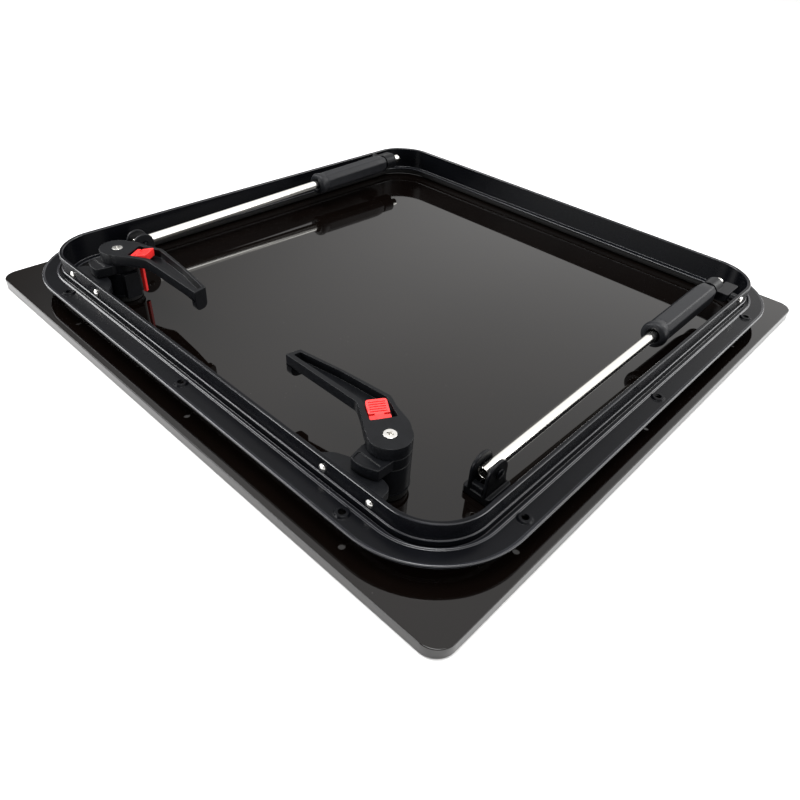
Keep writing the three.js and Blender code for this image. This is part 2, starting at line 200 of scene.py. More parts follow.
def rounded(outline, radius, steps=6):
    """The outline with each corner turned into an arc. radius is one number, or one for each corner."""
    count = len(outline)
    radii = radius if isinstance(radius, (list, tuple)) else [radius] * count
    result = []
    for i, corner in enumerate(outline):
        here = Vector(corner)
        before = Vector(outline[i - 1]) - here
        after = Vector(outline[(i + 1) % count]) - here
        half = before.angle(after) / 2
        if radii[i] <= 0 or abs(half - math.pi / 2) < 0.02:
            result.append(tuple(here))
            continue
        reach = min(radii[i] / math.tan(half), before.length * 0.48, after.length * 0.48)
        r = reach * math.tan(half)
        start, end = here + before.normalized() * reach, here + after.normalized() * reach
        middle = here + (before.normalized() + after.normalized()).normalized() * (r / math.sin(half))
        u, v = start - middle, end - middle
        sweep = math.pi - 2 * half
        for k in range(steps + 1):
            t = k / steps
            point = middle + (u * math.sin((1 - t) * sweep) + v * math.sin(t * sweep)) / math.sin(sweep)
            result.append(tuple(point))
    return result


def arc(cx, cy, radius, start, end, steps=12):
    angles = [math.radians(start + (end - start) * i / steps) for i in range(steps + 1)]
    return [(cx + radius * math.cos(a), cy + radius * math.sin(a)) for a in angles]


def rounded_rectangle(half_x, half_y, radius, steps=CORNER_STEPS):
    x, y = half_x - radius, half_y - radius
    quarters = ((x, y, 0), (-x, y, 90), (-x, -y, 180), (x, -y, 270))
    return [p for cx, cy, a in quarters for p in arc(cx, cy, radius, a, a + 90, steps)]


def loft(rings):
    """A closed ring from outlines that each have the same number of points. The last one joins the first."""
    around = len(rings[0])
    points = [p for ring in rings for p in ring]
    faces = []
    for i in range(len(rings)):
        k = (i + 1) % len(rings)
        for j in range(around):
            m = (j + 1) % around
            faces.append((i * around + j, i * around + m, k * around + m, k * around + j))
    return Shape(points, faces)


def stack(rings):
    """A solid from outlines on top of each other, closed at both ends."""
    shape = loft(rings)
    around = len(rings[0])
    last = around * (len(rings) - 1)
    shape.faces = shape.faces[:last] + [tuple(range(around))[::-1], tuple(range(last, last + around))]
    return shape


def frame_ring(offset, z):
    """The frame's outline at an offset outward from the upstand's outer face."""
    spread = max(offset, 0) / (FLANGE_HALF - RIM_HALF)
    corner = RIM_CORNER + (spread * (FLANGE_CORNER - RIM_CORNER) if offset > 0 else offset)
    half = RIM_HALF + offset
    return [(x, y + FRAME_Y, z) for x, y in rounded_rectangle(half, half, corner)]


def swept(profile):
    return loft([frame_ring(offset, z) for offset, z in profile])


def rod(path, radius, sides=8):
    """A round wire along a list of points, with flat ends."""
    path = [Vector(p) for p in path]
    points, side = [], None
    for i, here in enumerate(path):
        along = (path[min(i + 1, len(path) - 1)] - path[max(i - 1, 0)]).normalized()
        if side is None:
            side = along.orthogonal().normalized()
        side = (side - along * side.dot(along)).normalized()
        other = along.cross(side)
        for k in range(sides):
            a = 2 * math.pi * k / sides
            points.append(here + (side * math.cos(a) + other * math.sin(a)) * radius)
    faces = [tuple(range(sides))[::-1], tuple(range(len(points) - sides, len(points)))]
    for i in range(len(path) - 1):
        for k in range(sides):
            m = (k + 1) % sides
            faces.append((i * sides + k, i * sides + m, (i + 1) * sides + m, (i + 1) * sides + k))
    return Shape(points, faces)


# ---------- objects ----------

def new_object(name, shape):
    mesh = bpy.data.meshes.new(name)
    mesh.from_pydata([p * MM for p in shape.points], [], shape.faces)
    mesh.validate()
    edit = bmesh.new()
    edit.from_mesh(mesh)
    bmesh.ops.remove_doubles(edit, verts=edit.verts, dist=1e-7)
    bmesh.ops.recalc_face_normals(edit, faces=edit.faces)
    edit.to_mesh(mesh)
    edit.free()
    thing = bpy.data.objects.new(name, mesh)
    bpy.context.scene.collection.objects.link(thing)
    return thing


def applied(thing):
    """Turns an object's modifiers into its mesh."""
    bpy.context.view_layer.update()
    evaluated = thing.evaluated_get(bpy.context.evaluated_depsgraph_get())
    mesh = bpy.data.meshes.new_from_object(evaluated)
    old = thing.data
    thing.modifiers.clear()
    thing.data = mesh
    mesh.name = thing.name
    bpy.data.meshes.remove(old)


def combined(thing, shape, operation):
    """Joins a shape to an object or cuts it away."""
    tool = new_object("tool", shape)
    modifier = thing.modifiers.new("combine", "BOOLEAN")
    modifier.operation = operation
    modifier.solver = "EXACT"
    modifier.object = tool
    applied(thing)
    mesh = tool.data
    bpy.data.objects.remove(tool)
    bpy.data.meshes.remove(mesh)


def cleaned(thing, gap, flatten):
    """Merges points nearer than gap (mm) and closes what is left open.

    Faces that lie in one plane are joined if flatten is set.
    """
    edit = bmesh.new()
    edit.from_mesh(thing.data)
    bmesh.ops.remove_doubles(edit, verts=edit.verts, dist=gap * MM)
    if flatten:
        bmesh.ops.dissolve_limit(edit, angle_limit=math.radians(0.5), verts=edit.verts, edges=edit.edges)
    bmesh.ops.dissolve_degenerate(edit, edges=edit.edges, dist=gap * MM)
    bmesh.ops.holes_fill(edit, edges=[e for e in edit.edges if len(e.link_faces) == 1], sides=0)
    bmesh.ops.delete(edit, geom=[e for e in edit.edges if not e.link_faces], context="EDGES")
    bmesh.ops.delete(edit, geom=[v for v in edit.verts if not v.link_faces], context="VERTS")
    edit.to_mesh(thing.data)
    edit.free()


def edges_rounded(thing, width, segments=3, angle=35, flatten=True, edge_material=-1):
    cleaned(thing, 0.03, flatten)
    modifier = thing.modifiers.new("edges", "BEVEL")
    modifier.width = width * MM
    modifier.segments = segments
    modifier.limit_method = "ANGLE"
    modifier.angle_limit = math.radians(angle)
    modifier.use_clamp_overlap = False
    modifier.material = edge_material
    applied(thing)
    cleaned(thing, 0.004, False)
    return thing


def solid(shape, add=(), cut=(), bevel=0.0, **how):
    """An object made of a shape with others joined and cut, and its edges rounded."""
    thing = new_object("solid", shape)
    for extra in add:
        combined(thing, extra, "UNION")
    for extra in cut:
        combined(thing, extra, "DIFFERENCE")
    if bevel:
        return edges_rounded(thing, bevel, **how)
    if add or cut:
        cleaned(thing, 0.01, False)
    return thing


def shade(thing, sharp=50):
    """Smooth shading, with edges of more than sharp degrees kept sharp."""
    mesh = thing.data
    mesh.polygons.foreach_set("use_smooth", [True] * len(mesh.polygons))
    edit = bmesh.new()
    edit.from_mesh(mesh)
    limit = math.radians(sharp)
    for edge in edit.edges:
        edge.smooth = len(edge.link_faces) == 2 and edge.calc_face_angle(0) < limit
    edit.to_mesh(mesh)
    edit.free()
    modifier = thing.modifiers.new("flat faces stay flat", "WEIGHTED_NORMAL")
    modifier.keep_sharp = True
    modifier.weight = 50


def piece(name, thing, body, material, slot, *nodes):
    """Finishes an object as a named piece of the hatch."""
    thing.name = name
    thing.data.name = name
    if not thing.data.materials:
        thing.data.materials.append(material)
    shade(thing)
    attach(thing, body)
    if nodes:
        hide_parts(*nodes)


def mirrored(thing, name):
    """A copy of an object on the other side of x = 0."""
    copy = bpy.data.objects.new(name, thing.data.copy())
    bpy.context.scene.collection.objects.link(copy)
    copy.data.transform(Matrix.Scale(-1, 4, (1, 0, 0)))
    copy.data.flip_normals()
    return copy


def both_sides(label, body, make, material, slot, node=None):
    """Makes a right-hand piece and its mirror image. {} in each name is the side."""
    right = make()
    left = mirrored(right, label.format("left"))
    for thing, side in ((right, "right"), (left, "left")):
        nodes = [node.format(side)] if node else []
        piece(label.format(side), thing, body.format(side), material, slot, *nodes)


# ---------- materials ----------

def link(tree, a, b):
    tree.links.new(a, b)


def map_range(tree, value, start, end, low, high, kind="LINEAR"):
    """Turns the range start to end into low to high."""
    node = tree.nodes.new("ShaderNodeMapRange")
    node.interpolation_type = kind
    for name, number in (("From Min", start), ("From Max", end), ("To Min", low), ("To Max", high)):
        node.inputs[name].default_value = number
    link(tree, value, node.inputs["Value"])
    return node.outputs["Result"]


def noise(tree, vector, scale, detail, roughness=0.5):
    node = tree.nodes.new("ShaderNodeTexNoise")
    node.inputs["Scale"].default_value = scale
    node.inputs["Detail"].default_value = detail
    node.inputs["Roughness"].default_value = roughness
    link(tree, vector, node.inputs["Vector"])
    return node.outputs["Fac"]


def tinted(tree, value, color, vary):
    """A colour that goes from darker to lighter by the share vary."""
    ramp = tree.nodes.new("ShaderNodeValToRGB")
    for element, position, level in zip(ramp.color_ramp.elements, (0.3, 0.7), (1 - vary, 1 + vary)):
        element.position = position
        element.color = (*[c * level for c in color], 1)
    link(tree, value, ramp.inputs["Fac"])
    return ramp.outputs["Color"]


def dusted(tree, vector, color, amount):
    """A colour with small pale specks of dust."""
    dust = tree.nodes.new("ShaderNodeTexVoronoi")
    dust.inputs["Scale"].default_value = 90
    link(tree, vector, dust.inputs["Vector"])
    mix = tree.nodes.new("ShaderNodeMix")
    mix.data_type = "RGBA"
    mix.inputs["B"].default_value = (0.35, 0.34, 0.33, 1)
    link(tree, map_range(tree, dust.outputs["Distance"], 0, 0.035, amount, 0), mix.inputs["Factor"])
    link(tree, color, mix.inputs["A"])
    return mix.outputs["Result"]


def surface(name, color, vary, roughness, rough_vary, *, scale, grain, bump, stretch=(1, 1, 1), metallic=0.0,
            ior=1.5, specks=0.0):
    """A material whose colour, roughness and bump come from noise in the object's own space."""
    material = bpy.data.materials.new(name)
    material.use_nodes = True
    tree = material.node_tree
    shader = tree.nodes["Principled BSDF"]
    shader.inputs["Metallic"].default_value = metallic
    shader.inputs["IOR"].default_value = ior
    place = tree.nodes.new("ShaderNodeTexCoord").outputs["Object"]
    mapping = tree.nodes.new("ShaderNodeMapping")
    mapping.inputs["Scale"].default_value = stretch
    link(tree, place, mapping.inputs["Vector"])
    cloud = noise(tree, mapping.outputs["Vector"], scale, 5, 0.6)
    base = tinted(tree, cloud, color, vary)
    if specks:
        base = dusted(tree, place, base, specks)
    link(tree, base, shader.inputs["Base Color"])
    rough = map_range(tree, cloud, 0.3, 0.7, roughness - rough_vary, roughness + rough_vary)
    link(tree, rough, shader.inputs["Roughness"])
    relief = tree.nodes.new("ShaderNodeBump")
    relief.inputs["Strength"].default_value = bump
    relief.inputs["Distance"].default_value = 0.0001
    link(tree, noise(tree, mapping.outputs["Vector"], grain, 3), relief.inputs["Height"])
    link(tree, relief.outputs["Normal"], shader.inputs["Normal"])
    return material


ACRYLIC = surface("smoked_acrylic", (0.0022, 0.0014, 0.0011), 0.25, 0.035, 0.02,
                  scale=9, grain=900, bump=0.01, ior=1.49, specks=0.25)
ANODISED = surface("black_anodised", (0.0028, 0.0031, 0.0042), 0.2, 0.24, 0.03,
                   scale=26, grain=1500, bump=0.004, ior=1.22)
# A lighter, glossier copy of the anodised finish: a painted highlight that makes the frame's rounded edges
# show as bright lines.
ANODISED_PAINTED_HIGHLIGHT = surface("anodised_painted_edge_highlight", (0.014, 0.015, 0.019), 0.3, 0.24, 0.03,
                      scale=26, grain=1500, bump=0.004, ior=1.6)
PLASTIC = surface("black_moulding", (0.0045, 0.0049, 0.0060), 0.2, 0.33, 0.04,
                  scale=120, grain=5200, bump=0.12, ior=1.25)
GRIP = surface("black_grip_moulding", (0.0085, 0.0092, 0.0112), 0.2, 0.42, 0.05,
               scale=120, grain=4200, bump=0.2, ior=1.32)
RED = surface("red_moulding", (0.86, 0.030, 0.028), 0.08, 0.34, 0.05, scale=150, grain=4000, bump=0.12)
STEEL = surface("stainless_screws", (0.80, 0.79, 0.76), 0.05, 0.27, 0.05,
                scale=300, grain=6000, bump=0.12, metallic=1.0)
POLISHED = surface("polished_tube_steel", (0.97, 0.955, 0.91), 0.02, 0.16, 0.03,
                   scale=25, grain=2500, bump=0.03, stretch=(1, 0.08, 1), metallic=1.0)
RUBBER = surface("black_rubber", (0.007, 0.007, 0.007), 0.25, 0.6, 0.08,
                 scale=200, grain=3500, bump=0.4, ior=1.4)


# ---------- lid ----------

def lid():
    edge = [(0.8, 0), (0.25, 0.22), (0, 0.8), (0, LID_TOP - 0.8), (0.25, LID_TOP - 0.22), (0.8, LID_TOP)]
    body = stack([
        [(x, y, z) for x, y in rounded_rectangle(LID_X - inset, LID_Y - inset, LID_CORNER - inset)]
        for inset, z in edge
    ])
    hole = lathe([(0, -1), (5.5, -1), (SCREW_HOLE, 2.6), (SCREW_HOLE, LID_TOP + 1), (0, LID_TOP + 1)], 24)
    places = [(sign * x, y) for x, y in BASE_SCREWS + FORK_SCREWS + LEAF_SCREWS for sign in SIGNS]
    return solid(body, cut=[several([hole.at(x, y) for x, y in places])])


# ---------- frame ----------

# Each profile lists (offset outward from the upstand's outer face, height).
FRAME_PROFILE = [
    (22.4, 25), (23, 25.6), (23, 27.3), (22.4, 27.9), (21.2, 27.9), (20.6, FLANGE_TOP),
    (6.6, FLANGE_TOP), (5.8, 28.1), (4.4, 28.1), (4, 27.5), (4, 24.5), (0.9, 24.5),
    (0.9, 30.5), (0.3, 31.1), (0, 31.1), (0, 45),
    (-0.3, 45.6), (-1.0, 46.0), (-1.9, 46.1), (-2.8, 46.0), (-3.5, 45.6), (-WALL, 45),
    (-WALL, 20.2), (-8, 19.6), (-8.4, 19.2), (-8.4, 17.6), (-8, 17.2),
    (0.9, 17.2), (0.9, 22), (6.2, 22), (8, 24.6), (10, 25),
]
SEAL_PROFILE = [
    (0.4, 14), (0.4, 16.9), (-7.2, 16.9), (-7.2, 14), (-6.6, 12.3), (-5.6, 11.1), (-4.2, 10.5), (-3.2, 10.4),
    (-2.2, 10.5), (-1, 11.1), (-0.1, 12.3),
]


def flange_hole_places():
    side = RIM_HALF + HOLE_OFFSET
    places = []
    for step in (-1, 0, 1):
        for sign in (-1, 1):
            places.append((step * HOLE_X, FRAME_Y + sign * side))
            places.append((sign * side, HOLE_ROW_Y + step * HOLE_Y))
    return places


def hole_along_y(radius, y0, y1, x, z):
    return cylinder(radius, y0, y1, 24).turned(-90, "X").at(x, 0, z)


def frame_body():
    ring = new_object("frame", swept(FRAME_PROFILE))
    ring.data.materials.append(ANODISED)
    ring.data.materials.append(ANODISED_PAINTED_HIGHLIGHT)
    # The rounded edges take the second material, the painted edge highlight.
    edges_rounded(ring, 0.4, segments=2, angle=28, flatten=False, edge_material=1)
    collar = lathe([
        (0, 26.2), (6.2, 26.2), (6.2, FLANGE_TOP), (5.9, 27.6), (4.9, 28.75), (4.6, 28.9), (0, 28.9),
    ], 32)
    hole = lathe([
        (0, 24), (5.3, 24), (5.3, 25), (HOLE_RADIUS, 27), (HOLE_RADIUS, 28.5), (3.1, 29.2), (0, 29.2),
    ], 32)
    places = flange_hole_places()
    combined(ring, several([collar.at(x, y) for x, y in places]), "UNION")
    rivets = [hole_along_y(RIVET_HOLE, -268, -258, sign * x, RIVET_Z) for x in RIVET_XS for sign in SIGNS]
    bolts = [
        cylinder(BOLT_HOLE, *sorted((sign * 258, sign * 270)), 24).turned(90, "Y").at(0, PIVOT_Y, PIVOT_Z)
        for sign in SIGNS
    ]
    screws = [cylinder(RIVET_HOLE, 24, 26.7, 24).at(sign * x, y) for sign in SIGNS for x, y in FLANGE_SCREWS]
    combined(ring, several([hole.at(x, y) for x, y in places] + rivets + bolts + screws), "DIFFERENCE")
    return ring


def keeper():
    plan = [(145, -259.9), (209, -259.9), (207.1, -249.6), (203.3, -246), (197.9, -244.4), (166.5, -244.9),
            (154.9, -249.8)]
    shelf = prism(rounded(plan, [0, 0, 5, 6, 8, 20, 14], 6), 34, 41)
    back = box(147, 207, -259.9, -257, 27, 35)
    ribs = [box(x - 1, x + 1, -258, -249, 29, 35) for x in (172, 181, 190)]
    holes = several([hole_along_y(RIVET_HOLE, -262, -252.5, x, RIVET_Z) for x in RIVET_XS])
    return solid(shelf, add=[back, *ribs], cut=[holes], bevel=0.7)


def rivet(x):
    head = [
        (0, -2.1), (0.6, -2.1), (0.9, -1.9), (1.6, -1.9), (2.5, -1.5), (3.1, -0.9), (3.3, -0.5), (3.3, -0.3),
    ]
    shank = [(1.6, -0.3), (1.6, 11), (0, 11)]
    return new_object("rivet", lathe(head + shank, 32).turned(-90, "X").at(x, FRAME_Y - RIM_HALF, RIVET_Z))


# ---------- handles, drawn about their own axis with the lever toward -X ----------

def on_handle(shape):
    return shape.at(*HANDLE_AT)


def on_lock(shape):
    return on_handle(shape.turned(LOCK_TURN, "Z").at(*LOCK_AT))


def base_screw_holes(top):
    return several([cylinder(SCREW_HOLE, 9, top, 24).at(x - HANDLE_AT[0]) for x, y in BASE_SCREWS])


def handle_base():
    column = lathe([
        (HUB - 0.5, COLUMN_FOOT), (HUB + 0.5, 16.6), (HUB + 0.5, 17.6), (HUB, 18.2), (HUB, 40.9),
        (HUB - 0.6, COLUMN_TOP), (SPINDLE_HOLE, COLUMN_TOP), (SPINDLE_HOLE, 18.7), (9.6, 18.7),
        (9.6, COLUMN_FOOT),
    ], 72)
    boss = box(-20, -11, -8, 7, COLUMN_FOOT, COLUMN_TOP)
    return solid(on_handle(column), add=[on_handle(boss)], cut=[on_handle(base_screw_holes(30))], bevel=0.4)


def handle_gasket():
    ring = lathe([(15.4, 10.3), (15.8, 10.8), (15.8, 15.4), (15.4, 15.9), (9.6, 15.9), (9.6, 10.3)], 64)
    return solid(on_handle(ring), cut=[on_handle(base_screw_holes(17))])


def tongue():
    nose = [(10, 2), (-10, 2), (-12.9, -14.1), (-9.8, -28.2), (-2.8, -29.2), (3, -28.4), (8.5, -26.6),
            (13.3, -24.1), (13.3, -6)]
    plate = prism(rounded(nose, [0, 0, 4, 2.5, 20, 20, 20, 1.0, 0], 5), TONGUE_BOTTOM, TONGUE_TOP)
    disc = cylinder(HUB, TONGUE_BOTTOM, TONGUE_TOP, 72)
    bore = cylinder(SPINDLE_HOLE, TONGUE_BOTTOM - 1, 52, 36)
    hollow = [(10.9, -19.5), (11.4, -23.4), (2.6, -26.6), (-8, -27), (-9.6, -19.5)]
    recess = prism(rounded(hollow, 1.5, 4), TONGUE_TOP - 0.8, 52)
    return solid(on_handle(plate), add=[on_handle(disc)], cut=[on_handle(bore), on_handle(recess)], bevel=0.5)


def hook_ring(z):
    """The outline of the lever's down-turned end at one height. Its bottom is rounded."""
    (x0, y0), (x1, y1) = LEVER_END
    below = max(HOOK_BOTTOM + HOOK_RADIUS - z, 0)
    inset = 0.05 + HOOK_RADIUS - math.sqrt(HOOK_RADIUS ** 2 - below ** 2)
    low, high = y0 + inset, y1 - inset
    slant = (x1 - x0) / (y1 - y0)
    front = [(x0 + (y - y0) * slant, y) for y in (low, high)]
    back = [(x0 + HOOK_DEPTH + (y - y0) * slant, y) for y in (high, low)]
    return [(x, y, z) for x, y in front + back]


def hook():
    bend = [HOOK_BOTTOM + HOOK_RADIUS * (1 - math.cos(math.radians(a))) for a in range(0, 91, 10)]
    return stack([hook_ring(z) for z in [*bend, 57]])


def lever():
    near, far = LEVER_END
    arm = [near, (-40, 6.9), (-28.5, -0.3), (-14.2, -10.6), (-6, -14), (6, -6), (8.4, 14.2), (0, 19.9),
           (-17.4, 25.2), (-28.7, 30.8), (-74.7, 26.4), far]
    arm = rounded(arm, [0, 14, 18, 10, 0, 0, 9, 14, 30, 9, 60, 0], 7)
    pocket = [(-116, 11.3), (-39.8, 11.3), (-19.3, -0.6), (-9.3, 17.7), (-30.3, 27.2), (-75.2, 23.9),
              (-115, 17.5)]
    pocket = rounded(pocket, [1.2, 10, 1.6, 1.6, 7, 40, 1.2], 6)
    disc = cylinder(HUB, 51.3, LEVER_TOP, 96)
    seat = lathe([(0, 50), (4.9, 50), (4.9, 57.4), (2.4, 57.4), (2.4, 58.4), (6.4, 62.4), (0, 62.4)], 48)
    slot = prism([(3.8, 3.9), (7.9, 3.9), (7.9, 8.5), (3.8, 8.5)], 51, 55)
    body = solid(on_handle(prism(arm, LEVER_BOTTOM, LEVER_TOP)), add=[on_handle(disc), on_handle(hook())],
                 cut=[on_handle(prism(pocket, POCKET_BOTTOM, LEVER_TOP + 1.5))])
    for tool in (on_handle(seat), on_lock(slot)):
        combined(body, tool, "DIFFERENCE")
    return edges_rounded(body, 0.5)


def cross(radius, width, z0, z1):
    """The cross recess of a screw, narrower at the bottom."""
    arms = []
    for degrees in (0, 90):
        shape = box(-radius, radius, -width / 2, width / 2, z0, z1)
        for p in shape.points:
            if p.z < (z0 + z1) / 2:
                p.x *= 0.55
                p.y *= 0.7
        arms.append(shape.turned(degrees + 20, "Z"))
    return arms


def lever_screw():
    body = lathe([(0, 46), (2, 46), (2, 58.4), (4.75, 61.15), (4.9, 61.3), (4.7, 61.45), (0, 61.6)], 48)
    return solid(on_handle(body), cut=[on_handle(arm) for arm in cross(3.0, 1.5, 59.2, 62.5)])


def lock_button():
    plan = [(-10, -8), (2.2, -8), (2.2, -3.4), (3.8, -3.4), (3.8, -8), (7.7, -8), (7.7, 8), (3.8, 8),
            (3.8, 3.4), (2.2, 3.4), (2.2, 8), (-10, 8)]
    pad = prism(rounded(plan, [2, 0.5, 0, 0, 0.5, 0.8, 0.8, 0.5, 0, 0, 0.5, 2], 4), 57, 66)
    leg = box(4.3, 7.4, 4.4, 8, 16, 59)
    slope = prism_xz([(-11, 64.3), (3, 60.6), (9, 59.8), (9, 68), (-11, 68)], -9, 9)
    room = cylinder(3.6, 56, 59.4, 36).at(SPRING_X)
    body = solid(on_lock(pad), add=[on_lock(leg)], cut=[on_lock(slope), on_lock(room)])
    for x in (-7.5, -5.5, -3.5, -1.5, 0.5):
        z = 63.6 - 0.27 * (x + 10) - 0.3
        groove = [(x - 0.35, z), (x + 0.35, z), (x + 0.6, 68), (x - 0.6, 68)]
        combined(body, on_lock(prism_xz(groove, -6.2, 6.2)), "DIFFERENCE")
    return edges_rounded(body, 0.2, segments=2)


def lock_spring():
    turns, steps, radius, wire = 3.5, 24, 2.9, 0.42
    low, high = 54.75, 58.8
    count = int(turns * steps)
    path = []
    for i in range(count + 1):
        a = 2 * math.pi * i / steps
        path.append((radius * math.cos(a) + SPRING_X, radius * math.sin(a), low + (high - low) * i / count))
    return new_object("spring", on_lock(rod(path, wire)))


# ---------- stays ----------

def on_stay(shape):
    """Moves a shape drawn along Z from the clevis pin onto the stay's line."""
    return shape.turned(math.degrees(STAY_TILT) - 90, "X").at(STAY_X, PIN_Y, PIN_Z)


def across_stay(shape):
    return shape.turned(90, "Y").at(STAY_X, PIN_Y, PIN_Z)


def pin_hole():
    return across_stay(cylinder(PIN_HOLE, -12, 12, 32))


def tube_hole(start, end):
    return on_stay(cylinder(TUBE_HOLE, start, end, 48))


def bracket():
    ear = [(-188, 12), (-160, 12), (-162, 17), (-164, 28), *arc(-176, 32.5, 12, 0, 180, 24)]
    base = prism(rounded_rectangle(12.5, 14, 3, 6), 10.3, 17).at(STAY_X, -174)
    web = box(STAY_X - 6, STAY_X + 6, -187.2, -182, 16, 23)
    parts = [prism_yz(ear, STAY_X + dx, STAY_X + dx + 3) for dx in (-8.4, 5.4)] + [web]
    holes = [pin_hole()]
    holes += [cylinder(SCREW_HOLE, 9, 15.4, 24).at(x, y) for x, y in FORK_SCREWS]
    return solid(base, add=parts, cut=holes, bevel=1.1, segments=4)


def clevis_pin():
    shank = [(0, -9.9), (2.1, -9.9), (2.4, -9.6), (2.4, 8.7)]
    head = [(4.0, 8.7), (4.2, 8.9), (4.2, 9.6), (3.7, 10.2), (0, 10.3)]
    socket = prism(arc(0, 0, 1.6, 0, 300, 5), 9.2, 11)
    return solid(across_stay(lathe(shank + head, 40)), cut=[across_stay(socket)])


def stay_tube():
    profile = [(5, -7.6), (5, 396.6), (4.7, 397), (4.3, 397), (4, 396.7), (4, -7.7), (4.3, -8), (4.7, -8)]
    return solid(on_stay(lathe(profile, 56)), cut=[pin_hole()])


def stay_block():
    reach, root, tip = 20, BLOCK_START + 1, 398
    sleeve = cylinder(9.6, BLOCK_START, BLOCK_END, 56)
    lug = [(0, root), (reach, root), (reach, tip), (6.6, tip), (6.6, BLOCK_END), (0, BLOCK_END)]
    lug = prism_xz(rounded(lug, [0, 0, 2, 1.5, 1, 0], 4), -3.4, 6)
    corner = prism([(reach - 3, 7), (reach + 1, 7), (reach + 1, 2)], 360, 410)
    return solid(on_stay(sleeve), add=[on_stay(lug)], cut=[tube_hole(360, 410), on_stay(corner)], bevel=0.4)


def stay_grip():
    mouth = lathe([
        (7.4, 247), (10.2, 247), (11.4, 247.5), (12.3, 248.8), (12.8, 251), (12.7, 253), (12.2, 255.5),
        (11.4, 258), (11, 262), (TUBE_HOLE, 262), (TUBE_HOLE, 250), (6.4, 248.4),
    ], 64)
    # A shape drawn along Z lies on the stay with its local -y side up.
    section = [(6.4, -10.4), (10.8, -5), (10.8, 5), (6.4, 10.6), (-6.4, 10.6), (-10.8, 5), (-10.8, -5),
               (-6.4, -10.4)]
    section = rounded(section, 3.4, 7)
    steps = [
        (0.88, 256), (0.96, 258.5), (1, 263), (1, 350), (0.985, 356), (0.94, 361), (0.86, 365.5), (0.76, 368),
    ]
    body = stack([[(x * size, y * size, z) for x, y in section] for size, z in steps])
    return solid(on_stay(mouth), add=[on_stay(body)], cut=[tube_hole(249.5, 370)], bevel=0.5, flatten=False,
                 angle=45)


def along_bolt(profile):
    return new_object("bolt", lathe(profile, 40).turned(90, "Y").at(0, PIVOT_Y, PIVOT_Z))


def frame_bolt():
    return along_bolt([
        (0, 256.2), (2.2, 256.2), (2.2, 266.3), (3.5, 266.3), (3.5, 267.3), (3.0, 267.9), (2.2, 268.2),
        (0, 268.3),
    ])


def bolt_spacer():
    return along_bolt([(2.25, 256.3), (3.7, 256.3), (4, 256.6), (4, 261.7), (3.8, 261.9), (2.25, 261.9)])


# ---------- hinges, drawn about x = 0 ----------

def knuckle(x0, x1):
    start = [(0, x0), (3.8, x0), (4.1, x0 + 0.1), (4.2, x0 + 0.4)]
    end = [(4.2, x1 - 0.4), (4.1, x1 - 0.1), (3.8, x1), (0, x1)]
    return lathe(start + end, 48).turned(90, "Y").at(0, HINGE_Y, HINGE_Z)


def hinge_bore():
    return cylinder(HINGE_BORE, -40, 40, 36).turned(90, "Y").at(0, HINGE_Y, HINGE_Z)


def lid_leaf():
    plate = prism([(x, y + 283.25) for x, y in rounded_rectangle(20, 12.75, 2.5, 6)], 10.3, 12.8)
    parts = []
    for x0, x1 in ((-20, -10), (10, 20)):
        parts += [knuckle(x0, x1), box(x0 + 0.05, x1 - 0.05, 281, 287.5, 12, HINGE_Z)]
    holes = [cylinder(SCREW_HOLE, 9, 14, 24).at(x - HINGE_X, y) for x, y in LEAF_SCREWS]
    return moved_to_hinge(plate, parts, [hinge_bore(), *holes])


def frame_leaf():
    plate = prism([(x, y + 284) for x, y in rounded_rectangle(31, 5, 2, 6)], 23.5, 24.7)
    holes = [cylinder(RIVET_HOLE, 23, 25, 24).at(x - HINGE_X, y) for x, y in FLANGE_SCREWS]
    parts = [knuckle(-9.6, 9.6), box(-9.5, 9.5, 282, 288, HINGE_Z, 24)]
    return moved_to_hinge(plate, parts, [hinge_bore(), *holes])


def moved_to_hinge(plate, parts, holes):
    leaf = solid(plate.at(HINGE_X), bevel=0.35)
    for part in parts:
        combined(leaf, part.at(HINGE_X), "UNION")
    for hole in holes:
        combined(leaf, hole.at(HINGE_X), "DIFFERENCE")
    cleaned(leaf, 0.02, False)
    return leaf


def hinge_pin():
    profile = [(0, -21), (1.6, -21), (2, -20.6), (2, 20.6), (1.6, 21), (0, 21)]
    return new_object("pin", lathe(profile, 32).turned(90, "Y").at(HINGE_X, HINGE_Y, HINGE_Z))


# ---------- the hatch ----------

piece("acrylic_lid", lid(), "lid", ACRYLIC, "acrylic", "lid_panel")
piece("black_frame", frame_body(), "frame", ANODISED, "anodised", "frame")
piece("frame_seal_ring", new_object("seal", swept(SEAL_PROFILE)), "frame", RUBBER, "rubber", "frame_seal")
both_sides("keeper_{}_moulding", "frame", keeper, PLASTIC, "black_plastic", "keeper_{}")
for number, rivet_x in enumerate(RIVET_XS, 1):
    both_sides(f"keeper_{{}}_rivet_{number}_dome", "frame", lambda x=rivet_x: rivet(x), STEEL, "steel",
               f"keeper_{{}}_rivet_{number}")

both_sides("handle_{}_column", "lid", handle_base, PLASTIC, "black_plastic", "handle_{}_base")
both_sides("handle_{}_foot_gasket", "lid", handle_gasket, RUBBER, "rubber", "handle_{}_gasket")
both_sides("handle_{}_latch_tongue", "handle_{}", tongue, PLASTIC, "black_plastic", "handle_{}_tongue")
both_sides("handle_{}_lever_arm", "handle_{}", lever, PLASTIC, "black_plastic", "handle_{}_lever")
both_sides("handle_{}_cross_screw", "handle_{}", lever_screw, STEEL, "steel", "handle_{}_lever_screw")
both_sides("handle_{}_red_button", "lock_{}", lock_button, RED, "red_plastic", "handle_{}_lock_button")
both_sides("handle_{}_button_spring", "handle_{}", lock_spring, STEEL, "steel", "handle_{}_lock_spring")
for side, sign in SIDES:
    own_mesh(bpy.data.objects[f"handle_{side}_button_spring"])

